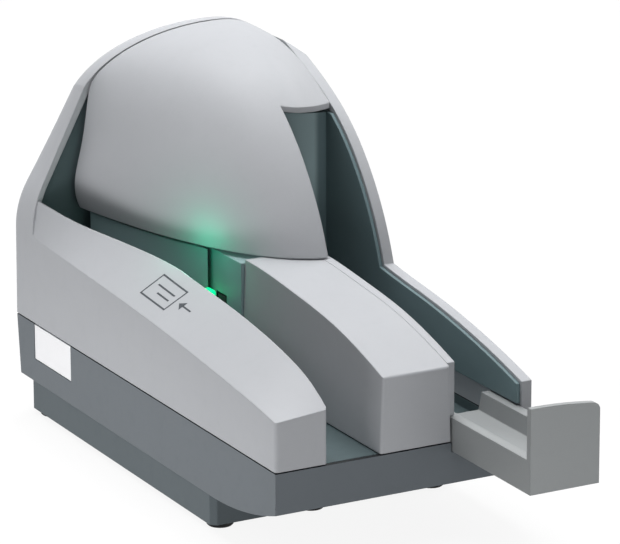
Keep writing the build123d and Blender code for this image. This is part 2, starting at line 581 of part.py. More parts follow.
def core_form(inset, z0, z1):
    """Plan form of the inner guide: straight sides and a half round back."""
    r = CORE_RADIUS - inset
    body = post(CORE_X, TRACK_TURN_Y, z0, z1, r)
    body += block(CORE_X - r, CORE_X + r, CORE_STEP_Y + inset, TRACK_TURN_Y, z0, z1)
    return body + block(ISLAND_LEFT + inset, ISLAND_RIGHT - inset, CORE_FRONT_Y + inset, CORE_STEP_Y + 2 * inset + 1, z0, z1)


def inner_guide():
    """The inner wall of the U-shaped track, hollow for the rollers, reading head and cartridge."""
    body = core_form(0, BAND_TOP, TRACK_TOP) - core_form(GUIDE_WALL, BAND_TOP - 1, TRACK_TOP - GUIDE_WALL)
    for x, y in SHAFTS.values():
        body -= post(x, y, ROLLER_Z[0] - 1, ROLLER_Z[1] + 1, ROLLER_RADIUS + 0.6)
        body -= post(x, y, TRACK_TOP - GUIDE_WALL - 1, TRACK_TOP + 1, SHAFT_RADIUS + RUN_FIT)
    body -= block(ISLAND_LEFT - 1, ISLAND_LEFT + GUIDE_WALL + 1, *HEAD_Y, BAND_TOP - 1, HEAD_TOP + 0.3)
    return body - block(ISLAND_LEFT - 1, ISLAND_LEFT + GUIDE_WALL + 1, *SENSOR_Y, BAND_TOP - 1, SENSOR_TOP + 0.3)


def skirt_curve(inset, mouth_x, z):
    """Plan line that follows the cover's lower edge, inset, from the back to the track mouth."""
    x0, y0 = LEFT_RAIL[0][0] + inset, COVER_BACK + 1.6 - inset
    x1, y1 = FRONT_RAIL_X[0], FRONT_RAIL[0][0] + inset
    points = []
    for i in range(7):
        across = (mouth_x - x0) / (x1 - x0) * i / 6
        angle = pi / 2 - asin(cos(ELLIPSE_START) * (1 - across))
        rise = (sin(angle) - sin(ELLIPSE_START)) / (1 - sin(ELLIPSE_START))
        points.append((x0 + (x1 - x0) * across, y0 + (y1 - y0) * rise, z))
    return Spline(*points)


def outer_guide_form(inset, z0, z1):
    """Plan form of the outer guide: a curved skirt outside, the track's round turn inside."""
    r = CORE_RADIUS + TRACK_GAP + inset
    left, right, y = CORE_X - r, CORE_X + r, TRACK_TURN_Y
    skirt = skirt_curve(SKIRT_INSET + inset, left, z0)
    start, mouth = skirt @ 0, skirt @ 1
    end = INNER_RIGHT - 2.5 - inset
    front = y + inset
    turn = ThreePointArc((left, y, z0), (CORE_X, y + r, z0), (right, y, z0))
    corners = [Vector(*c, z0) for c in ((right, y), (right, front), (end, front), (end, start.Y))] + [start]
    lines = [Line(a, b) for a, b in zip(corners, corners[1:]) if (a - b).length > 0]
    return extrude(make_face([skirt, Line(mouth, (left, y, z0)), turn] + lines), z1 - z0, dir=(0, 0, 1))


def outer_guide():
    """The outer wall of the track: one dark moulding, hollow underneath."""
    body = outer_guide_form(0, BAND_TOP, TRACK_TOP) - outer_guide_form(GUIDE_WALL, BAND_TOP, TRACK_TOP - GUIDE_WALL)
    body -= post(*DRIVE_PINCH, BAND_TOP - 1, ROLLER_Z[1] + 3, PINCH_RADIUS + 0.6)
    left = ISLAND_LEFT - TRACK_GAP
    return body - block(left - GUIDE_WALL - 1, left + 1, *SENSOR_Y, BAND_TOP - 1, SENSOR_TOP + 0.3)


def bulkhead():
    """The dark arched panel inside the hood, behind the cover, with a window for the hooks."""
    y = HOOD_FRONT + 2.5
    panel = extrude(arch_outline(y, HOOD_WALL + 0.6), 2.0, dir=(0, 1, 0))
    half = HINGE_SPAN / 2 + 1.5
    return panel - block(HINGE_X - half, HINGE_X + half, y - 1, y + 3, HINGE_Z - HOOK_OUTER - 2, HOOD_TOP)


# ---------------------------------------------------------------- rollers and drive
def roller(name):
    x, y = SHAFTS[name]
    tyre = post(x, y, *ROLLER_Z, ROLLER_RADIUS)
    for groove in (0.33, 0.67):
        z = ROLLER_Z[0] + groove * (ROLLER_Z[1] - ROLLER_Z[0])
        tyre -= post(x, y, z - 0.6, z + 0.6, ROLLER_RADIUS + 1) - post(x, y, z - 1, z + 1, ROLLER_RADIUS - 0.7)
    return tyre - post(x, y, ROLLER_Z[0] - 1, ROLLER_Z[1] + 1, SHAFT_RADIUS)


def shaft(name):
    return post(*SHAFTS[name], PULLEY_Z - 1, TRACK_TOP - 0.4, SHAFT_RADIUS)


def pulley(centre, radius, bore):
    """A flanged belt pulley."""
    z0, z1 = PULLEY_Z, PULLEY_Z + PULLEY_WIDTH
    body = post(*centre, z0, z1, radius) + post(*centre, z0, z0 + 0.8, radius + BELT + 0.6)
    body += post(*centre, z1 - 0.8, z1, radius + BELT + 0.6)
    return body - post(*centre, z0 - 1, z1 + 1, bore)


def shaft_bushes():
    """Flanged bushes in the deck, one for each driven shaft."""
    bushes = []
    for x, y in SHAFTS.values():
        bush = post(x, y, DECK_BOTTOM, BAND_TOP, BUSH_RADIUS) + post(x, y, BAND_TOP, BAND_TOP + 1.2, BUSH_RADIUS + 1.0)
        bushes.append(bush - post(x, y, DECK_BOTTOM - 1, BAND_TOP + 2, SHAFT_RADIUS + RUN_FIT))
    return bushes


def belt_face(extra):
    """Plan hull of the pulleys, grown by extra."""
    circles = [Pos(x, y) * Circle(PULLEY_RADIUS + extra) for x, y in SHAFTS.values()]
    circles.append(Pos(*MOTOR) * Circle(MOTOR_PULLEY + extra))
    return make_hull([edge for circle in circles for edge in circle.edges()])


def drive_belt():
    """The belt that runs round all four pulleys between their flanges."""
    z0 = PULLEY_Z + 1.1
    height = PULLEY_WIDTH - 2.2
    ring = extrude(belt_face(NIP + BELT), height) - extrude(belt_face(NIP), height)
    return Pos(0, 0, z0) * ring


def drive_motor():
    """The motor can with its nose boss, under the bracket."""
    can = post(*MOTOR, PLINTH_HEIGHT - 10.0, MOTOR_TOP, MOTOR_RADIUS)
    can = chamfer(can.edges().filter_by(GeomType.CIRCLE), 0.8)
    return can + post(*MOTOR, MOTOR_TOP - 1, MOTOR_TOP + 2.0, 5.0) - post(*MOTOR, MOTOR_TOP - 4, MOTOR_TOP + 3, 1.5 + RUN_FIT)


def motor_pulley():
    """Pulley and shaft of the motor."""
    wheel = pulley(MOTOR, MOTOR_PULLEY, 0.5) + post(*MOTOR, MOTOR_TOP - 3.5, PULLEY_Z + PULLEY_WIDTH, 1.5)
    return wheel


def motor_bracket():
    """A bent plate that hangs the motor from the deck."""
    x, y = MOTOR
    plate = block(x - 20, x + 20, y - 20, y + 20, MOTOR_TOP, MOTOR_TOP + 1.5)
    plate -= post(x, y, MOTOR_TOP - 1, MOTOR_TOP + 3, 5.0)
    for side in (-1, 1):
        legs = sorted((x + side * 18.5, x + side * 20))
        plate += block(*legs, y - 20, y - 8, MOTOR_TOP, DECK_BOTTOM)
    return plate


def pinch_roller(centre):
    return post(*centre, ROLLER_Z[0] + 1, ROLLER_Z[1] - 1, PINCH_RADIUS) - post(*centre, ROLLER_Z[0], ROLLER_Z[1], PINCH_AXLE + RUN_FIT)


def pinch_axles():
    """Two steel axles that stand on the deck, each with a collar under its roller."""
    return [post(*c, BAND_TOP, ROLLER_Z[1] + 2, PINCH_AXLE) + post(*c, BAND_TOP, ROLLER_Z[0] + 0.7, PINCH_AXLE + 1.5)
            for c in (DRIVE_PINCH, EXIT_PINCH)]


# ---------------------------------------------------------------- reading parts
HEAD_Y = (along_track(0.4), along_track(0.556))
HEAD_TOP = 66.0
SENSOR_Y = (TRACK_TURN_Y - 9.0, TRACK_TURN_Y - 0.5)
SENSOR_TOP = TRACK_TOP - 6.0


def magnetic_head():
    """The magnetic reading head, its rounded face in the left track wall."""
    y = (HEAD_Y[0] + HEAD_Y[1]) / 2
    body = block(ISLAND_LEFT + 1.5, ISLAND_LEFT + 10, HEAD_Y[0] + 0.4, HEAD_Y[1] - 0.4, BAND_TOP, HEAD_TOP)
    face = post(ISLAND_LEFT + 4.2, y, BAND_TOP, HEAD_TOP, 4.0) & block(0, ISLAND_LEFT + 2, 0, LENGTH, 0, HOOD_TOP)
    return body + face


def image_sensor(x0, x1, glass_side):
    """A contact image sensor bar and its glass, standing on the deck."""
    y0, y1 = SENSOR_Y[0] + 0.3, SENSOR_Y[1] - 0.3
    bar = block(x0, x1, y0, y1, BAND_TOP, SENSOR_TOP)
    g0, g1 = (x0, x0 + 1) if glass_side < 0 else (x1 - 1, x1)
    glass = block(g0, g1, y0 + 1, y1 - 1, BAND_TOP + 2, SENSOR_TOP - 2)
    return bar - glass, glass


CARTRIDGE_WIDTH = 16.0
CARTRIDGE_Y = (TRACK_TURN_Y - 3.0, TRACK_TURN_Y + 10.0)
CARTRIDGE_X = CORE_X + 0.6
SNOUT_HALF = 5.0
CRADLE_WALL = 1.3
CRADLE_FLOOR = 4.0
CRADLE_FIT = 0.2


def ink_cartridge():
    """The endorser's cartridge in the core, with its snout."""
    half = CARTRIDGE_WIDTH / 2
    z0 = BAND_TOP + CRADLE_FLOOR
    body = block(CARTRIDGE_X - half, CARTRIDGE_X + half, *CARTRIDGE_Y, z0, TRACK_TOP - GUIDE_WALL - 4)
    body = fillet(body.edges().filter_by(Axis.Z), 1.5)
    snout = (CARTRIDGE_Y[1] - 1, TRACK_TURN_Y + CORE_RADIUS - GUIDE_WALL - 2.1)
    return body + block(CARTRIDGE_X - SNOUT_HALF, CARTRIDGE_X + SNOUT_HALF, *snout, z0 + 6, z0 + 16)


def cartridge_cradle():
    """The cup that holds the cartridge above the deck."""
    half = CARTRIDGE_WIDTH / 2 + CRADLE_FIT
    y0, y1 = CARTRIDGE_Y[0] - CRADLE_FIT, CARTRIDGE_Y[1] + CRADLE_FIT
    x0, x1, wall = CARTRIDGE_X - half, CARTRIDGE_X + half, CRADLE_WALL
    cup = block(x0 - wall, x1 + wall, y0 - wall, y1 + wall, BAND_TOP, BAND_TOP + CRADLE_FLOOR + 5)
    return cup - block(x0, x1, y0, y1, BAND_TOP + CRADLE_FLOOR, BAND_TOP + CRADLE_FLOOR + 6)


# ---------------------------------------------------------------- feeder
FLAG_PIVOT = (ARM_WIDTH + 2.8, 72.0)
FLAG_Z = (52.0, 64.0)
FLAG_LENGTH = 62.0
FLAG_PIN = 1.0


def feed_flag():
    """The flag that presses the documents to the feed roller; at rest it lies back along the arm."""
    x, y = FLAG_PIVOT
    hub = post(x, y, *FLAG_Z, 2.2)
    blade = block(x - 1.8, x, y, y + FLAG_LENGTH, *FLAG_Z)
    tip = post(x - 0.4, y + FLAG_LENGTH, *FLAG_Z, 1.4)
    return hub + blade + tip - post(x, y, FLAG_Z[0] - 1, FLAG_Z[1] + 1, FLAG_PIN + RUN_FIT)


def flag_pin():
    x, y = FLAG_PIVOT
    return post(x, y, BAND_TOP, FLAG_Z[1] + 1, FLAG_PIN) + post(x, y, BAND_TOP, FLAG_Z[0] - 0.3, 2.0)


HOLDER_X = (ISLAND_LEFT - 8.3, ISLAND_LEFT - 2.8)
HOLDER_Y = (SHAFTS["feed"][1] - 1.5, SHAFTS["feed"][1] + 6.5)
HOLDER_TOP = 74.0


def separator_holder():
    """The block in front of the track mouth that carries the separator pad."""
    return block(*HOLDER_X, *HOLDER_Y, BAND_TOP, HOLDER_TOP)


def separator_pad():
    return block(HOLDER_X[1], ISLAND_LEFT - 1.1, HOLDER_Y[0] + 1, HOLDER_Y[1] - 0.5, *(ROLLER_Z[0], HOLDER_TOP - 2))


def status_light():
    """The green lens on the separator holder."""
    lens = block(HOLDER_X[0] + 0.7, HOLDER_X[1] - 0.6, HOLDER_Y[0] + 1, HOLDER_Y[1] - 1, HOLDER_TOP, HOLDER_TOP + 5)
    return fillet(lens.edges().sort_by(Axis.Z)[-4:], 1.0)


def document_sensors():
    """Two small light barriers against the inside of the track wall, at its mouth and at its end."""
    near, far = ISLAND_LEFT + GUIDE_WALL + 0.1, CORE_RIGHT - GUIDE_WALL - 0.1
    return [block(near, near + 4, CORE_FRONT_Y + 3, CORE_FRONT_Y + 7, BAND_TOP, BAND_TOP + 6),
            block(far - 4, far, CORE_STEP_Y + 6, CORE_STEP_Y + 10, BAND_TOP, BAND_TOP + 6)]


# ---------------------------------------------------------------- electronics
def main_board():
    """The circuit board with its larger components."""
    board = block(*BOARD_X, *BOARD_Y, BOARD_Z, BOARD_Z + BOARD_THICKNESS)
    top = BOARD_Z + BOARD_THICKNESS
    for dx, dy, size, height in ((45.5, 20, 18, 2.0), (29.5, 42, 12, 1.6), (9.5, 20, 14, 1.8)):
        x, y = BOARD_X[0] + dx, BOARD_Y[0] + dy
        board += block(x, x + size, y, y + size, top - 0.1, top + height)
    for dx in (47.5, 57.5):
        board += post(BOARD_X[0] + dx, BOARD_Y[0] + 56, top - 0.1, top + 8, 4.0)
    return board


def usb_socket():
    z0 = BOARD_Z + BOARD_THICKNESS
    shell = block(*USB_X, SOCKET_BACK - 15, SOCKET_BACK, z0, SOCKET_TOP)
    return shell - block(USB_X[0] + 1.4, USB_X[1] - 1.4, SOCKET_BACK - 9, SOCKET_BACK + 1, z0 + 1.4, SOCKET_TOP - 1.4)


def power_inlet():
    z0 = BOARD_Z + BOARD_THICKNESS
    x, z = (INLET_X[0] + INLET_X[1]) / 2, (z0 + SOCKET_TOP) / 2
    body = block(*INLET_X, SOCKET_BACK - 14, SOCKET_BACK, z0, SOCKET_TOP)
    body -= rod_y(x, SOCKET_BACK - 9, SOCKET_BACK + 1, z, 3.1)
    return body + rod_y(x, SOCKET_BACK - 10, SOCKET_BACK - 1, z, 1.0)


# ---------------------------------------------------------------- write every node
def main():
    export("lower_case", lower_case())
    export("label_plate", label_plate())
    export("plinth", plinth())
    export("rubber_feet", *rubber_feet())
    export("case_screws", *case_screws())
    export("track_deck", track_deck())
    export("upper_case", upper_case())
    export("hinge_pin", hinge_pin())
    export("track_cover", track_cover())
    export("island_cover", island_cover())
    export("exit_guide", exit_guide())
    export("pocket_column", pocket_column())
    export("exit_tray", exit_tray())
    export("inner_guide", inner_guide())
    export("outer_guide", outer_guide())
    export("bulkhead", bulkhead())
    for name, centre in SHAFTS.items():
        export(f"{name}_roller", roller(name))
        export(f"{name}_shaft", shaft(name))
        export(f"{name}_pulley", pulley(centre, PULLEY_RADIUS, SHAFT_RADIUS))
    export("shaft_bushes", *shaft_bushes())
    export("drive_belt", drive_belt())
    export("drive_motor", drive_motor())
    export("motor_pulley", motor_pulley())
    export("motor_bracket", motor_bracket())
    export("drive_pinch_roller", pinch_roller(DRIVE_PINCH))
    export("exit_pinch_roller", pinch_roller(EXIT_PINCH))
    export("pinch_axles", *pinch_axles())
    export("magnetic_head", magnetic_head())
    front_bar, front_glass = image_sensor(ISLAND_LEFT + 0.2, ISLAND_LEFT + 10, -1)
    export("front_image_sensor", front_bar)
    export("front_sensor_glass", front_glass)
    outer = ISLAND_LEFT - TRACK_GAP
    rear_bar, rear_glass = image_sensor(outer - 10, outer - 0.2, 1)
    export("rear_image_sensor", rear_bar)
    export("rear_sensor_glass", rear_glass)
    export("ink_cartridge", ink_cartridge())
    export("cartridge_cradle", cartridge_cradle())
    export("feed_flag", feed_flag())
    export("flag_pin", flag_pin())
    export("separator_holder", separator_holder())
    export("separator_pad", separator_pad())
    export("status_light", status_light())
    export("document_sensors", *document_sensors())
    export("main_board", main_board())
    export("usb_socket", usb_socket())
    export("power_inlet", power_inlet())


main()
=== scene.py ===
# %% [markdown]
# # A cheque scanner in a small studio
#
# This lesson dresses a finished CAD model for a photograph. The solids already stand in the right
# places. What Blender adds is light, a camera, the grain and colour of moulded plastic, rubber and
# metal, and the small pieces that are worth showing but not worth a solid.
#
# The model comes in first. Every piece made later rides on one of its bodies, so nothing has to be
# fitted by eye.

# %% Load the CAD model
import json
import math

import bmesh
import bpy
from mathutils import Matrix, Vector


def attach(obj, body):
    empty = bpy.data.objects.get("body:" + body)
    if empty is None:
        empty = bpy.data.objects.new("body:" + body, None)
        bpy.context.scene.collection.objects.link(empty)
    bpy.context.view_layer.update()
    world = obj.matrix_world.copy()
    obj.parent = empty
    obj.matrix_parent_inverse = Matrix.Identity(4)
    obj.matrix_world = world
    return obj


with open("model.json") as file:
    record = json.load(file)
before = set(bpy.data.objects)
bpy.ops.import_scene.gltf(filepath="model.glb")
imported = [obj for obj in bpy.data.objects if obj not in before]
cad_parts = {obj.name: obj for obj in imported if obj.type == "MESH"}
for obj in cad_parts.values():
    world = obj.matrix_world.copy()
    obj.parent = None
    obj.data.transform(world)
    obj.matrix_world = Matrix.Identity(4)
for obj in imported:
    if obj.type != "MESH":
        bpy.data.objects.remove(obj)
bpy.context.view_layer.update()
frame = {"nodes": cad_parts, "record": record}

nodes = frame["nodes"]

# %% [markdown]
# ## Measuring from the case
#
# A maker measures this machine from the left wall, the front face and the underside of the plinth,
# in millimetres. Blender works in metres round the middle of the floor. One small function turns
# the first kind of place into the second, so every number below can be read on the object itself.

# %% Case millimetres to scene metres
MM = 0.001
CASE_WIDTH, CASE_LENGTH, TRAY_REACH, FOOT = 126.0, 262.0, 64.8, 2.5


def at(x, y, z):
    """A place measured on the case, as a point of the scene."""
    return Vector((x - CASE_WIDTH / 2, y - (CASE_LENGTH - TRAY_REACH) / 2, z + FOOT)) * MM


print("the front left corner of the plinth's underside stands at", tuple(at(0, 0, 0)))

# %% [markdown]
# ## Camera
#
# The photograph was taken with a long lens, from the front left and a little above. A long lens
# from far away keeps the edges of the case almost parallel, which a short lens close by would not.
# The camera looks at a point inside the case, so no lens shift is needed.

# %% Camera
EYE, TARGET = at(-792.0, -1504.4, 646.5), at(81.2, 119.6, 90.0)
ROLL = math.radians(-0.2)
SENSOR, LENS = 36.0, 247.6             # millimetres, as on a real camera
NEAREST, FARTHEST = 0.05, 20.0         # metres from the lens between which things are drawn
camera_data = bpy.data.cameras.new("studio_camera")
camera_data.sensor_width, camera_data.lens = SENSOR, LENS
camera_data.clip_start, camera_data.clip_end = NEAREST, FARTHEST
camera = bpy.data.objects.new("studio_camera", camera_data)
bpy.context.collection.objects.link(camera)
camera.location = EYE
look = (TARGET - EYE).to_track_quat("-Z", "Y").to_matrix() @ Matrix.Rotation(ROLL, 3, "Z")
camera.rotation_euler = look.to_euler()
bpy.context.scene.camera = camera
bpy.context.scene.view_settings.view_transform = "Standard"
print("the camera stands", round((EYE - TARGET).length, 3), "m away")

# %% [markdown]
# ## Shader arithmetic
#
# A material is a graph of nodes. Wiring sums by hand buries the idea, so a small class wraps one
# output socket and lets it be added, multiplied and compared as if it were a number. Each sum adds
# its Math node. The reflected forms, such as __rsub__, let a plain number stand on the left.

# %% Sums on sockets
class Value:
    """An output socket that can be used in sums."""

    def __init__(self, finish, socket):
        self.finish, self.socket = finish, socket

    def sum(self, operation, *values):
        return self.finish.node("ShaderNodeMath", {"operation": operation},
                                dict(enumerate(values)))

    def __add__(self, other): return self.sum("ADD", self, other)
    def __radd__(self, other): return self.sum("ADD", other, self)
    def __sub__(self, other): return self.sum("SUBTRACT", self, other)
    def __rsub__(self, other): return self.sum("SUBTRACT", other, self)
    def __mul__(self, other): return self.sum("MULTIPLY", self, other)
    def __rmul__(self, other): return self.sum("MULTIPLY", other, self)
    def __truediv__(self, other): return self.sum("DIVIDE", self, other)
    def __abs__(self): return self.sum("ABSOLUTE", self)
    def __lt__(self, other): return self.sum("LESS_THAN", self, other)
    def __gt__(self, other): return self.sum("GREATER_THAN", self, other)

    def fraction(self):
        """What is left after the whole number is taken off."""
        return self.sum("FRACT", self)

    def most(self, other):
        """The larger of two."""
        return self.sum("MAXIMUM", self, other)


# %% [markdown]
# ## A finish while it is being wired
#
# Everything that isn't a sum goes through one method, which takes the kind of node, its settings
# and what goes into its sockets. The others below it are short names for the nodes that these
# finishes use again and again: noise, stripes of stretched noise, soft steps, mixes and bumps. The
# patterns read Object coordinates, so they stay on their piece when it moves.

# %% Nodes of a finish
class Finish:
    """A material while it is being wired."""

    def __init__(self, name):
        self.material = bpy.data.materials.new(name)
        self.material.use_nodes = True
        self.tree = self.material.node_tree
        self.tree.nodes.clear()
        self.shader = self.tree.nodes.new("ShaderNodeBsdfPrincipled")
        output = self.tree.nodes.new("ShaderNodeOutputMaterial")
        self.tree.links.new(self.shader.outputs[0], output.inputs["Surface"])
        self.place = self.node("ShaderNodeTexCoord", output="Object")

    def fill(self, socket, value):
        """Links a value to a socket, or writes a plain number or colour on it."""
        if isinstance(value, Value):
            self.tree.links.new(value.socket, socket)
        elif socket.type == "RGBA" and len(value) == 3:
            socket.default_value = (*value, 1.0)
        else:
            socket.default_value = value

    def node(self, kind, settings=None, inputs=None, output=0):
        """Adds a node, sets it up, fills its sockets and gives one of its outputs."""
        made = self.tree.nodes.new(kind)
        for name, value in (settings or {}).items():
            setattr(made, name, value)
        for name, value in (inputs or {}).items():
            self.fill(made.inputs[name], value)
        return Value(self, made.outputs[output])

    def noise(self, size, detail=2.0, rough=0.5, place=None):
        """Soft noise whose blobs are about this many millimetres across."""
        return self.node("ShaderNodeTexNoise", {}, {
            "Vector": place or self.place, "Scale": 1.0 / (size * MM), "Detail": detail,
            "Roughness": rough}, "Fac")

    def stretched(self, x, y, z):
        """The place with each axis scaled, so that noise made on it turns into streaks."""
        return self.node("ShaderNodeVectorMath", {"operation": "MULTIPLY"},
                         {0: self.place, 1: (x, y, z)}, "Vector")

    def axis(self, letter):
        """One coordinate of the place, in metres."""
        return self.node("ShaderNodeSeparateXYZ", {}, {0: self.place}, letter)

    def step(self, value, low, high):
        """0 up to the low value, 1 from the high one on, and soft between them."""
        return self.node("ShaderNodeMapRange", {"interpolation_type": "SMOOTHSTEP"},
                         {"Value": value, "From Min": low, "From Max": high}, "Result")

    def mix(self, factor, first, second):
        """One colour turning into another."""
        return self.node("ShaderNodeMix", {"data_type": "RGBA"},
                         {0: factor, 6: first, 7: second}, 2)

    def bright(self, colour, factor):
        """A colour made lighter or darker by a value about 1."""
        grey = self.node("ShaderNodeCombineXYZ", {}, {0: factor, 1: factor, 2: factor})
        return self.node("ShaderNodeVectorMath", {"operation": "MULTIPLY"}, {0: colour, 1: grey},
                         "Vector")

    def bump(self, height, depth, strength, normal=None):
        """A normal for bumps this many millimetres deep."""
        inputs = {"Height": height, "Distance": depth * MM, "Strength": strength}
        if normal is not None:
            inputs["Normal"] = normal
        return self.node("ShaderNodeBump", {}, inputs, "Normal")

    def rounded(self, radius):
        """A normal that turns smoothly over sharp edges, as if they had this radius."""
        return self.node("ShaderNodeBevel", {"samples": 4}, {"Radius": radius * MM}, "Normal")

    def edges(self, soft_normal):
        """1 on the edges that the rounded normal turns over, and 0 on open faces."""
        flat = self.node("ShaderNodeNewGeometry", output="Normal")
        along = self.node("ShaderNodeVectorMath", {"operation": "DOT_PRODUCT"},
                          {0: soft_normal, 1: flat}, "Value")
        return self.step(1.0 - along, low=0.01, high=0.22)

    def set(self, **values):
        """Fills the shader's own sockets; spaces are written as underscores."""
        for name, value in values.items():
            self.fill(self.shader.inputs[name.replace("_", " ")], value)
        return self.material


# %% Screen colours
def shade(red, green, blue):
    """A screen colour from 0 to 255, as the linear colour that a shader takes."""
    return tuple(c / 255 / 12.92 if c <= 10 else ((c / 255 + 0.055) / 1.055) ** 2.4
                 for c in (red, green, blue))


print("a mid grey of 128 is written as", round(shade(128, 128, 128)[0], 3))

# %% [markdown]
# ## Sky and floor
#
# The scanner was photographed on white paper. A flat pale floor under a plain sky does the same
# job as a curved paper sweep, and is simpler. Seen by the camera, or in a reflection, both are
# white. To every other ray the sky is dim and the floor is darker paper, so the white sends no
# light on the object. A small share of the floor stays plain paper to the camera as well, and that
# share carries the soft shadow under the feet.

# %% White only where it is seen
WHITE = (1.0, 1.0, 1.0, 1.0)


def white_for_camera(tree):
    """1 for rays that show the background itself, and 0 for rays that only carry light."""
    path = tree.nodes.new("ShaderNodeLightPath")
    total = path.outputs["Is Camera Ray"]
    for name in ("Is Glossy Ray", "Is Transmission Ray"):
        most = tree.nodes.new("ShaderNodeMath")
        most.operation = "MAXIMUM"
        tree.links.new(total, most.inputs[0])
        tree.links.new(path.outputs[name], most.inputs[1])
        total = most.outputs[0]
    return total


# %% Sky
SKY_LIGHT, SKY_TINT = 0.13, (0.96, 0.98, 1.0, 1.0)
world = bpy.data.worlds.new("studio_sky")
bpy.context.scene.world = world
world.use_nodes = True
tree = world.node_tree
tree.nodes.clear()
sky, backdrop = (tree.nodes.new("ShaderNodeBackground") for _ in range(2))
sky.inputs["Color"].default_value = SKY_TINT
sky.inputs["Strength"].default_value = SKY_LIGHT
backdrop.inputs["Color"].default_value = WHITE
both = tree.nodes.new("ShaderNodeMixShader")
tree.links.new(white_for_camera(tree), both.inputs[0])
tree.links.new(sky.outputs[0], both.inputs[1])
tree.links.new(backdrop.outputs[0], both.inputs[2])
tree.links.new(both.outputs[0], tree.nodes.new("ShaderNodeOutputWorld").inputs["Surface"])
print("the sky fills with a strength of", SKY_LIGHT)

# %% Floor
FLOOR_SIDE = 12.0                          # metres
PAPER_SEEN, PAPER_BOUNCE = 0.95, 0.20      # how pale the paper is to the camera, and to the light
PURE_WHITE = 0.90                          # the share of the floor that no shadow can darken
bpy.ops.mesh.primitive_plane_add(size=FLOOR_SIDE, location=(0, 0, 0))
floor = bpy.context.object
floor.name = "studio_floor"
floor_paint = bpy.data.materials.new("studio_paper")
floor_paint.use_nodes = True
tree = floor_paint.node_tree
tree.nodes.clear()
matt = tree.nodes.new("ShaderNodeBsdfDiffuse")
pale = tree.nodes.new("ShaderNodeMix")
pale.data_type = "RGBA"
pale.inputs[6].default_value = (PAPER_BOUNCE, PAPER_BOUNCE, PAPER_BOUNCE, 1.0)
pale.inputs[7].default_value = (PAPER_SEEN, PAPER_SEEN, PAPER_SEEN, 1.0)
tree.links.new(white_for_camera(tree), pale.inputs[0])
tree.links.new(pale.outputs[2], matt.inputs["Color"])
share = tree.nodes.new("ShaderNodeMath")
share.operation = "MULTIPLY"
share.inputs[1].default_value = PURE_WHITE
tree.links.new(white_for_camera(tree), share.inputs[0])
both = tree.nodes.new("ShaderNodeMixShader")
tree.links.new(share.outputs[0], both.inputs[0])
tree.links.new(matt.outputs[0], both.inputs[1])
tree.links.new(tree.nodes.new("ShaderNodeEmission").outputs[0], both.inputs[2])
tree.links.new(both.outputs[0], tree.nodes.new("ShaderNodeOutputMaterial").inputs["Surface"])
floor.data.materials.append(floor_paint)
print("the floor is", FLOOR_SIDE, "m square")

# %% [markdown]
# ## Lamps
#
# In the photograph the tops are bright, the lower part of the dome falls into shade and the sides
# are even. So the strongest lamp hangs above and behind, two weaker ones stand above and on the
# right, and one on the left only fills. Two low cards, on the left and in front, stand for the
# white paper that throws light up at the sides. A tiny green lamp in the slot stands for what the
# status light throws on the dome. One big lamp would be simpler, but it can't light the tops
# strongly and the sides evenly at once.

# %% A rectangular lamp
def lamp_at(name, place, aim, width, height, watts):
    """A rectangular lamp that shines from one place towards another and isn't seen itself."""
    lamp_data = bpy.data.lights.new(name, "AREA")
    lamp_data.shape = "RECTANGLE"
    lamp_data.size, lamp_data.size_y, lamp_data.energy = width, height, watts
    lamp = bpy.data.objects.new(name, lamp_data)
    bpy.context.collection.objects.link(lamp)
    lamp.location = place
    lamp.rotation_euler = (aim - place).to_track_quat("-Z", "Y").to_euler()
    lamp.visible_camera = False
    return lamp


# %% Four softboxes
MIDDLE = at(63, 120, 90)
SOFTBOXES = (     # name, azimuth from the front, elevation, metres away, metres wide, watts
    ("lamp_above", -10, 79, 1.5, 0.9, 8.5),
    ("lamp_behind", 170, 70, 1.5, 0.9, 19.0),
    ("lamp_left", -100, 45, 1.6, 0.9, 3.0),
    ("lamp_right", 110, 38, 1.8, 1.2, 11.5),
)
for name, azimuth, elevation, distance, side, watts in SOFTBOXES:
    turn, rise = math.radians(azimuth), math.radians(elevation)
    out = Vector((math.sin(turn) * math.cos(rise), -math.cos(turn) * math.cos(rise),
                  math.sin(rise)))
    lamp_at(name, MIDDLE + out * distance, MIDDLE, side, side, watts)
print(len(SOFTBOXES), "softboxes look at", tuple(MIDDLE))

# %% Two cards
CARDS = (         # name, place, aim, metres wide, metres high, watts
    ("card_left", at(-150, 135, 18), at(0, 140, 36), 0.46, 0.04, 0.30),
    ("card_front", at(60, -330, 40), at(60, 0, 50), 0.30, 0.08, 0.42),
)
for card in CARDS:
    # A reflection of a card this near would look like a lamp.
    lamp_at(*card).visible_glossy = False
print(len(CARDS), "cards")

# %% The glow in the slot
GLOW_PLACE, GLOW_GREEN = at(33, 147, 104), (0.0, 1.0, 0.52)
GLOW_WATTS, GLOW_RADIUS = 0.0075, 0.004
glow_data = bpy.data.lights.new("slot_glow", "POINT")
glow_data.energy, glow_data.color, glow_data.shadow_soft_size = GLOW_WATTS, GLOW_GREEN, GLOW_RADIUS
slot_glow = bpy.data.objects.new("slot_glow", glow_data)
bpy.context.collection.objects.link(slot_glow)
slot_glow.location = GLOW_PLACE
print("the green glow has", GLOW_WATTS, "watts")
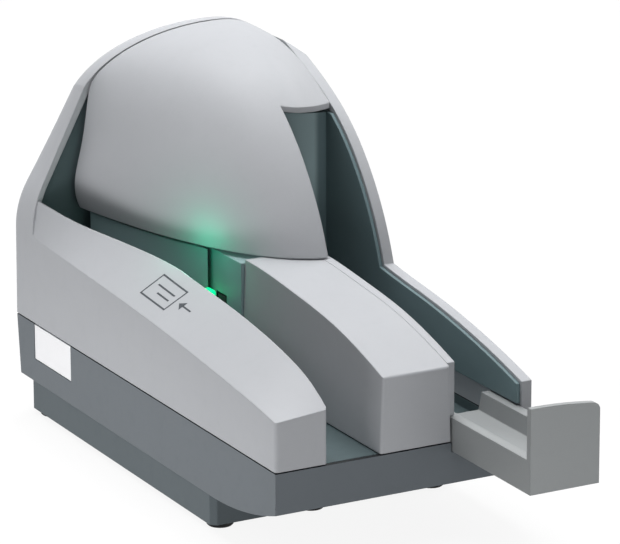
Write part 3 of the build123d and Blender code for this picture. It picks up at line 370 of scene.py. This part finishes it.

# %% [markdown]
# ## Moulded plastic
#
# The housings are moulded in steel tools whose faces were etched, so the plastic has a fine grain
# that breaks up its gloss. Up close there is also a slow drift of colour from the flow of the
# melt, a trace of dust, and edges that hands have polished. A scanned picture of plastic could
# show that, but it would need a file and a seam. Here all of it is noise of different sizes, which
# has neither. The sharp edges of the CAD get their moulded radius from a bevelled normal, which
# costs no faces, and along them the colour is lighter: a painted highlight.

# %% A moulded finish
EDGE_RADIUS = 0.7                                            # millimetres
DRIFT_SIZE, DUST_SIZE = 45.0, 7.0                            # millimetres across
DRIFT_TONE, GRAIN_TONE, DUST_TONE = 0.07, 0.05, 0.018        # how far each changes the brightness
GRAIN_MATT, DUST_MATT, WEAR_SHINE = 0.14, 0.05, 0.08         # how far each changes the roughness
PLASTIC_REFLECTION = 0.24


def moulded(name, colour, grain=0.55, depth=0.035, rough=0.5, edge_highlight=1.09):
    """Etched plastic. The colour may also be a function that wires it. The last argument is how
    much
    lighter the edges are painted: a painted highlight, on edges that wear also makes less rough."""
    made = Finish(name)
    soft = made.rounded(EDGE_RADIUS)
    wear_and_highlight = made.edges(soft)
    fine = made.noise(grain, detail=3.0, rough=0.6)
    slow = made.noise(DRIFT_SIZE)
    dust = made.step(made.noise(DUST_SIZE, detail=4.0, rough=0.65), low=0.45, high=0.8)
    level = 1.0 + (slow - 0.5) * DRIFT_TONE + (fine - 0.5) * GRAIN_TONE - dust * DUST_TONE
    # Painted highlight: the colour is lighter along the edges, by the last argument.
    level = level * (1.0 + wear_and_highlight * (edge_highlight - 1.0))
    return made.set(
        Base_Color=made.bright(colour(made) if callable(colour) else colour, level),
        Roughness=rough + (fine - 0.5) * GRAIN_MATT + dust * DUST_MATT - wear_and_highlight * WEAR_SHINE,
        Normal=made.bump(fine, depth, 0.6, soft),
        Specular_IOR_Level=PLASTIC_REFLECTION)


# %% [markdown]
# ## Colours that change with the place
#
# Three pieces aren't one colour all over. The column of the pocket and the liner of the right wall
# are one moulding in two tones: the column is painted paler as light, the liner darker as shade,
# and the colour turns at an X between the two. A gap runs round the machine where the upper case
# meets the lower one, and its walls lie in shade. Both cases get that shade painted on as a dark
# line by height. A dark strip as a piece of its own would do too, but it would have to follow the
# whole outline of the case.

# %% Column, liner and the gap between the cases
CASE_GREY, BAND_GREY = shade(176, 178, 182), shade(104, 110, 115)
# One moulding in two tones: the column is painted paler as light, the liner darker as shade.
COLUMN_PAINTED_LIGHT, LINER_PAINTED_SHADE = shade(172, 194, 197), shade(112, 132, 136)
LINER_FROM, LINER_FULL = at(113.0, 0, 0).x, at(116.0, 0, 0).x
# Painted shade darkens the gap between the cases, between these two heights.
BAND_TOP, GAP_TOP = at(0, 0, 43.9).z, at(0, 0, 44.5).z
GAP_PAINTED_SHADE = shade(26, 29, 32)
HAIR = 0.05 * MM                     # how sharp the dark line's border is


def column_light_liner_shade(made):
    """Painted light on the column, painted shade on the liner of the right wall."""
    return made.mix(made.step(made.axis("X"), LINER_FROM, LINER_FULL), COLUMN_PAINTED_LIGHT, LINER_PAINTED_SHADE)


def case_over_painted_gap_shade(made):
    """The upper case's grey, with painted shade inside the gap along its foot."""
    return made.mix(made.step(made.axis("Z"), GAP_TOP - HAIR, GAP_TOP), GAP_PAINTED_SHADE, CASE_GREY)


def band_under_painted_gap_shade(made):
    """The lower case's grey, with painted shade on the ledge that the gap leaves open."""
    return made.mix(made.step(made.axis("Z"), BAND_TOP - HAIR, BAND_TOP), BAND_GREY, GAP_PAINTED_SHADE)


print("the gap is", round((GAP_TOP - BAND_TOP) / MM, 2), "mm high")

# %% The moulded finishes
SMOOTH = {"grain": 0.4, "depth": 0.015}          # a polished tool leaves less grain
finishes = {
    "case_light": moulded("case_light_grain_gap_shade", case_over_painted_gap_shade),
    "case_band": moulded("case_band_grain_gap_shade", band_under_painted_gap_shade, edge_highlight=1.14),
    "plinth_dark": moulded("plinth_grain", shade(94, 102, 106), edge_highlight=1.12, rough=0.6),
    "guide_dark": moulded("guide_smooth", shade(84, 98, 101), edge_highlight=1.16, rough=0.42, **SMOOTH),
    # The column's finish is painted paler as light, and its liner darker as shade.
    "column_painted_light_and_shade": moulded("column_smooth_painted_light_and_shade", column_light_liner_shade, edge_highlight=1.1, rough=0.45, **SMOOTH),
    # The guides' finish is the dark guide plastic painted paler, as light.
    "track_painted_light": moulded("track_smooth_painted_light", shade(146, 168, 171), edge_highlight=1.12, rough=0.42, **SMOOTH),
    "tray_grey": moulded("tray_grain", shade(150, 153, 154), edge_highlight=1.12, rough=0.46),
    "black_plastic": moulded("black_plastic_grain", shade(34, 35, 37), edge_highlight=1.4, rough=0.45),
}
print(len(finishes), "moulded finishes")

# %% [markdown]
# ## Rubber, metal, glass and the rest
#
# The feet and rollers are rubber, the shafts ground steel, the bushes sintered bronze. One shiny
# grey for all metals would be quicker, but each of these is known by the marks of how it was made.
# So each gets them from noise: a bloom for rubber, streaks for grinding, specks for sintering, a
# trace of wiping on glass.

# %% Rubber
def rubber(name, colour, rough=0.82):
    """Matt rubber with a dusty bloom."""
    made = Finish(name)
    fine = made.noise(0.5, detail=3.0)
    bloom = made.step(made.noise(6.0, detail=3.0), low=0.4, high=0.8)
    return made.set(Base_Color=made.mix(bloom * 0.35, colour, shade(88, 88, 86)),
                    Roughness=rough + (fine - 0.5) * 0.12,
                    Normal=made.bump(fine, depth=0.05, strength=0.7),
                    Specular_IOR_Level=0.3)


# %% Metal
def ground_metal(name, colour, stretch, rough=0.3):
    """Metal with fine streaks from grinding or drawing."""
    made = Finish(name)
    streak = made.noise(1.0, detail=3.0, rough=0.6, place=made.stretched(*stretch))
    stain = made.step(made.noise(9.0, detail=3.0), low=0.5, high=0.85)
    return made.set(Base_Color=made.mix(stain * 0.25, colour, tuple(c * 0.72 for c in colour)),
                    Roughness=rough + (streak - 0.5) * 0.22 + stain * 0.12, Metallic=1.0,
                    Normal=made.bump(streak, depth=0.01, strength=0.5, normal=made.rounded(0.25)))


def sintered(name, colour):
    """Porous bronze: dark specks of oil on a dull gold."""
    made = Finish(name)
    pores = made.step(made.noise(0.35, detail=3.0, rough=0.7), low=0.52, high=0.62)
    return made.set(Base_Color=made.mix(pores * 0.6, colour, shade(70, 48, 24)),
                    Roughness=0.38 + pores * 0.25, Metallic=1.0,
                    Normal=made.bump(pores, depth=-0.03, strength=0.5))


# %% Glass, lens and label
def sensor_glass(name):
    """The cover glass of an image sensor, with a trace of wiping."""
    made = Finish(name)
    wipe = made.noise(1.5, place=made.stretched(1.0, 1.0, 0.15))
    return made.set(Base_Color=made.bright(shade(198, 214, 212), 0.96 + wipe * 0.06),
                    Roughness=0.04 + wipe * 0.06, Transmission_Weight=0.85, IOR=1.5)


def green_lens(name):
    """A frosted lens over a green lamp, whose light is uneven with the frost."""
    made = Finish(name)
    frost = made.noise(0.6, detail=3.0)
    return made.set(Base_Color=shade(20, 150, 96), Roughness=0.3 + frost * 0.2,
                    Normal=made.bump(frost, depth=0.03, strength=0.5),
                    Emission_Color=made.bright(shade(0, 235, 140), 0.85 + frost * 0.3),
                    Emission_Strength=1.6)


def bare_label(name):
    """A blank rating plate: satin film with a faint orange-peel."""
    made = Finish(name)
    peel, slow = made.noise(1.2), made.noise(16.0)
    return made.set(Base_Color=made.bright(shade(250, 250, 252), 0.97 + slow * 0.06),
                    Roughness=0.34 + peel * 0.1, Coat_Weight=0.25,
                    Normal=made.bump(peel, depth=0.012, strength=0.5, normal=made.rounded(0.3)))


# %% Circuit board
TRACK_HALF_WIDTH = 0.13                  # as a share of the pitch


def circuit_board(name):
    """Green solder mask over copper tracks that run both ways, in patches."""
    made = Finish(name)
    x, y = made.axis("X") / MM, made.axis("Y") / MM
    lines = [(abs((along / pitch).fraction() - 0.5) < TRACK_HALF_WIDTH)
             * (made.noise(16.0, detail=1.0) > 0.5) for along, pitch in ((x, 1.9), (y, 2.3))]
    tracks = lines[0].most(lines[1])
    return made.set(Base_Color=made.mix(tracks * 0.6, shade(14, 72, 40), shade(42, 120, 66)),
                    Roughness=0.32 + made.noise(2.0) * 0.12,
                    Normal=made.bump(tracks, depth=0.03, strength=0.5))


# %% The other finishes
finishes.update({
    "rubber_black": rubber("rubber_bloom", shade(30, 30, 31)),
    "roller_rubber": rubber("roller_ground", shade(52, 53, 55), rough=0.7),
    "steel": ground_metal("steel_ground", shade(186, 187, 190), stretch=(1.0, 1.0, 0.12)),
    "bush_brass": sintered("bronze_sintered", shade(190, 150, 92)),
    "sensor_glass": sensor_glass("glass_wiped"),
    "light_green": green_lens("lens_green"),
    "board_green": circuit_board("board_tracks"),
    "label_white": bare_label("label_blank"),
})
print(len(finishes), "finishes in all")

# %% [markdown]
# ## Dressing the solids
#
# The record already says which finish each piece is made in, so dressing them is one loop. Going
# through the pieces by hand would only give a chance to forget one. Three pieces round the track
# share a slot with darker ones but look paler, so these three are named and get paler finishes:
# painted light.

# %% Dress the CAD nodes
# Painted light: these pieces get paler copies of the dark plastic that their slot names.
PAINTED_PALER = {"pocket_column": "column_painted_light_and_shade", "outer_guide": "track_painted_light", "inner_guide": "track_painted_light"}
for subpart in frame["record"]["subparts"]:
    mesh = nodes[subpart["node"]].data
    mesh.materials.clear()
    mesh.materials.append(finishes[PAINTED_PALER.get(subpart["node"], subpart["material_slot"])])

# %% [markdown]
# ## Tools for the small pieces
#
# Every small piece starts as a primitive at its own size and place and is then shaped in edit
# mode, as it would be by hand. An operator acts on whatever is selected, so each step first
# deselects everything. When a piece is done its place is baked into its mesh, its edges are
# rounded, and it is told which body it rides on.

# %% Choosing
def only(*chosen):
    """Selects these objects and nothing else."""
    bpy.ops.object.select_all(action="DESELECT")
    for each in chosen:
        each.select_set(True)
    bpy.context.view_layer.objects.active = chosen[0]


def pick(piece, test):
    """Goes into edit mode with only the faces selected whose middle and normal pass the test."""
    only(piece)
    bpy.ops.object.mode_set(mode="EDIT")
    bpy.ops.mesh.select_mode(type="FACE")
    bpy.ops.mesh.select_all(action="DESELECT")
    shape = bmesh.from_edit_mesh(piece.data)
    for face in shape.faces:
        face.select_set(test(face.calc_center_median(), face.normal))
    shape.select_flush_mode()
    bmesh.update_edit_mesh(piece.data)


def leave():
    """Goes back from edit mode."""
    bpy.ops.object.mode_set(mode="OBJECT")


# %% Finishing
SMOOTH_BELOW = math.radians(35)


def settle(piece):
    """Bakes a piece's place, turn and size into its mesh."""
    only(piece)
    bpy.ops.object.transform_apply(location=True, rotation=True, scale=True)
    return piece


def modified(piece, kind, **settings):
    """Adds a modifier and applies it."""
    only(piece)
    made = piece.modifiers.new(kind.lower(), kind)
    for name, value in settings.items():
        setattr(made, name, value)
    bpy.ops.object.modifier_apply(modifier=made.name)


def bevelled(piece, width):
    """Rounds the sharp edges of a piece over this many millimetres."""
    modified(piece, "BEVEL", width=width * MM, segments=2, limit_method="ANGLE")


def place(piece, finish, slot, bevel=0.0, body="case"):
    """Rounds the edges, gives the finish and fixes the piece to its body."""
    if bevel:
        bevelled(piece, bevel)
    only(piece)
    bpy.ops.object.shade_smooth_by_angle(angle=SMOOTH_BELOW)
    piece.data.materials.clear()
    piece.data.materials.append(finishes[finish])
    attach(piece, body)
    print(piece.name, len(piece.data.polygons), "faces on", body)


def joined(name, pieces):
    """One object from several."""
    only(*pieces)
    bpy.ops.object.join()
    bpy.context.object.name = name
    return bpy.context.object


# %% [markdown]
# ## The loading pictogram
#
# A pictogram printed on the arm shows how documents are put in. Here it is a generic one: the
# outline of a sheet, two lines on it and an arrow towards the track. It could be painted in the
# case's material, but pad printing is a real layer of ink with crisp edges, so it is a film of
# thin strips, dropped onto the curved arm with a Shrinkwrap and given a hair of thickness.

# %% Ink
ink = Finish("printed_ink")
finishes["ink"] = ink.set(Base_Color=ink.bright(shade(62, 66, 72), 0.92 + ink.noise(0.8) * 0.16),
                          Roughness=0.5 + ink.noise(0.4) * 0.15, Specular_IOR_Level=0.3)
INK_START, INK_FILM, LINE = 110.0, 0.08, 0.75        # height it drops from, thickness, line width


def strip(x0, x1, y0, y1):
    """A flat strip of ink above the arm."""
    low, high = at(x0, y0, INK_START), at(x1, y1, INK_START)
    bpy.ops.mesh.primitive_plane_add(size=1.0, location=(low + high) / 2)
    flat = bpy.context.object
    flat.scale = (high.x - low.x, high.y - low.y, 1.0)
    return settle(flat)


print("the ink will be", INK_FILM, "mm thick")

# %% Sheet outline and the lines on it
SHEET_LEFT, SHEET_RIGHT, SHEET_FRONT, SHEET_BACK = 7.0, 19.5, 119.0, 143.0
LINES_FRONT = 123.0
LINES = ((11.0, 134.0), (14.2, 139.0))               # X of each line, and how far back it runs
sheet_outline = strip(SHEET_LEFT, SHEET_RIGHT, SHEET_FRONT, SHEET_BACK)
pick(sheet_outline, lambda middle, normal: True)
bpy.ops.mesh.inset(thickness=LINE * MM)
bpy.ops.mesh.delete(type="FACE")
leave()
lines = [strip(x, x + LINE, LINES_FRONT, back) for x, back in LINES]
print("the sheet is", SHEET_RIGHT - SHEET_LEFT, "by", SHEET_BACK - SHEET_FRONT, "mm")

# %% Arrow, and the whole pictogram on the arm
ARROW_X, SHAFT_FRONT, SHAFT_BACK = 13.25, 105.0, 112.5
HEAD_MIDDLE, HEAD_RADIUS = 113.4, 2.6
arrow_shaft = strip(ARROW_X - LINE / 2, ARROW_X + LINE / 2, SHAFT_FRONT, SHAFT_BACK)
bpy.ops.mesh.primitive_circle_add(vertices=3, radius=HEAD_RADIUS * MM, fill_type="NGON",
                                  location=at(ARROW_X, HEAD_MIDDLE, INK_START))
arrow_head = settle(bpy.context.object)
pictogram = joined("loading_pictogram", [sheet_outline, *lines, arrow_shaft, arrow_head])
pick(pictogram, lambda middle, normal: True)
bpy.ops.mesh.subdivide(number_cuts=7)
leave()
modified(pictogram, "SHRINKWRAP", target=nodes["upper_case"], wrap_method="PROJECT",
         use_project_x=False, use_project_y=False, use_project_z=True, use_negative_direction=True,
         use_positive_direction=False)
modified(pictogram, "SOLIDIFY", thickness=INK_FILM * MM, offset=1.0)
place(pictogram, "ink", "guide_dark")

# %% [markdown]
# ## Sockets at the back
#
# The solids give the two sockets their shells, and the power inlet its centre pin. The USB socket
# also needs its tongue with four gilt contacts. A dark hole alone would do from far away. The
# tongue is a block whose end face is inset and pushed out, as the nose of a real one is, and whose
# edges are then rounded. The contacts are thin strips, made once and copied.
#
# The steel pin is made like the tongue. It has the radius of the inlet's own pin and ends behind
# its tip, so hardly any of it shows.

# %% Blocks, drums and stepped ends
def slab(name, low, high):
    """A block between two corners in case millimetres."""
    low, high = at(*low), at(*high)
    bpy.ops.mesh.primitive_cube_add(size=1.0, location=(low + high) / 2)
    piece = bpy.context.object
    piece.name, piece.scale = name, high - low
    return settle(piece)


def disc(name, middle, radius, height, sides, turn=(0, 0, 0)):
    """An upright drum, or one that lies along Y when it is turned about X."""
    bpy.ops.mesh.primitive_cylinder_add(vertices=sides, radius=radius * MM, depth=height * MM,
                                        location=at(*middle), rotation=turn)
    bpy.context.object.name = name
    return settle(bpy.context.object)


def stepped(piece, out, inset, rise):
    """Insets the faces that look one way, and moves what is left outwards, in millimetres."""
    pick(piece, lambda middle, normal: normal.dot(out) > 0.9)
    bpy.ops.mesh.inset(thickness=inset * MM)
    bpy.ops.transform.translate(value=out * (rise * MM))
    leave()


def repeated(name, first, shifts):
    """A piece and its copies at these distances in millimetres, each with its own mesh, as one."""
    copies = [first]
    for shift in shifts:
        only(first)
        bpy.ops.object.duplicate(linked=False)
        bpy.context.object.location = Vector(shift) * MM
        copies.append(settle(bpy.context.object))
    return joined(name, copies)


# %% USB tongue and contacts
BACK, UP = Vector((0, 1, 0)), Vector((0, 0, 1))
CONTACT_PITCH, CONTACTS = 1.25, 4
tongue = slab("usb_tongue", (33.3, 254.0, 25.6), (38.7, 259.2, 28.8))
stepped(tongue, BACK, inset=0.35, rise=0.3)
place(tongue, "black_plastic", "black_plastic", bevel=0.12)
contact = slab("contact", (33.9, 254.4, 28.8), (34.7, 258.6, 28.95))
contacts = repeated("usb_contacts", contact,
                    [(CONTACT_PITCH * i, 0, 0) for i in range(1, CONTACTS)])
place(contacts, "bush_brass", "bush_brass")

# %% Power pin
LYING = (math.radians(90), 0, 0)
pin = disc("power_pin", (65.0, 254.0, 27.1), radius=1.0, height=6.6, sides=24, turn=LYING)
stepped(pin, BACK, inset=0.3, rise=0.4)
place(pin, "steel", "steel", bevel=0.08)

# %% [markdown]
# ## Screws of the track, and their crosses
#
# With the cover up, the tops of both guides show the screws that hold them to the deck. One pan
# head is made from a cylinder: its top is inset and raised a little, and its edges are rounded.
# The cross recess could be cut with a boolean, but at this size only its dark shape is seen, so a
# black cross lies on each head as painted shade.

# %% Pan heads on the guides
GUIDE_TOP = 96.0
GUIDE_SCREWS = ((70.0, 142.0), (41.0, 226.0), (106.0, 214.0))
SCREW_RADIUS, SCREW_HEIGHT, SCREW_CROWN = 2.6, 1.0, 0.35
first_x, first_y = GUIDE_SCREWS[0]
others = [(x - first_x, y - first_y, 0) for x, y in GUIDE_SCREWS[1:]]
head = disc("head", (first_x, first_y, GUIDE_TOP + SCREW_HEIGHT / 2), SCREW_RADIUS, SCREW_HEIGHT,
            sides=32)
stepped(head, UP, inset=0.7, rise=SCREW_CROWN)
bevelled(head, 0.25)
heads = repeated("guide_screws", head, others)


# %% Crosses on the heads
CROSS_REACH, CROSS_WIDTH, CROSS_HEIGHT = 1.3, 0.5, 0.07
CROSS_FOOT = GUIDE_TOP + SCREW_HEIGHT + SCREW_CROWN - 0.05


def cross(name, x, y, z):
    """A plus shape: a small block whose four sides are extruded."""
    half = CROSS_WIDTH / 2
    made = slab(name, (x - half, y - half, z), (x + half, y + half, z + CROSS_HEIGHT))
    for axis, sign in ((0, 1), (0, -1), (1, 1), (1, -1)):
        pick(made, lambda middle, normal: normal[axis] * sign > 0.9
             and abs((middle - at(x, y, z))[1 - axis]) < 0.1 * MM)
        push = [0.0, 0.0, 0.0]
        push[axis] = sign * (CROSS_REACH - half) * MM
        bpy.ops.mesh.extrude_region_move(TRANSFORM_OT_translate={"value": push})
        leave()
    return made


cross_shades = repeated("guide_screw_cross_shade", cross("shade_mark", first_x, first_y, CROSS_FOOT), others)
place(heads, "steel", "steel")
# The crosses are painted shade: black plastic where the recesses would lie in shadow.
place(cross_shades, "black_plastic", "black_plastic")

# %% [markdown]
# ## Arrows on the inner guide
#
# Two arrows moulded into the inner guide's top show which way a document runs: back on the
# feeder's side and forward on the pocket's. They could be part of the solid, but trim this thin is
# left to the scene. Each is a bar and a three-sided drum, which is an arrow head.

# %% Path arrows
ARROW_HEIGHT, ARROW_LENGTH, BAR_HALF_WIDTH, TIP_RADIUS = 0.3, 12.0, 0.7, 2.6
TIP_OVERLAP = 1.0


def path_arrow(x, y, heading):
    """A raised arrow whose tip lies round (x, y) and looks back (1) or forward (-1)."""
    turn = (0, 0, math.radians(0 if heading > 0 else 180))
    tip = disc("tip", (x, y, GUIDE_TOP + ARROW_HEIGHT / 2), TIP_RADIUS, ARROW_HEIGHT, 3, turn)
    front, back = sorted((y - heading * ARROW_LENGTH, y - heading * TIP_OVERLAP))
    bar = slab("bar", (x - BAR_HALF_WIDTH, front, GUIDE_TOP),
               (x + BAR_HALF_WIDTH, back, GUIDE_TOP + ARROW_HEIGHT))
    return joined("arrow", [tip, bar])


arrows = joined("path_arrows", [path_arrow(66.5, 172.0, 1), path_arrow(74.0, 160.0, -1)])
# The arrows share the inner guide's finish, painted paler as light.
place(arrows, "track_painted_light", "guide_dark", bevel=0.06)
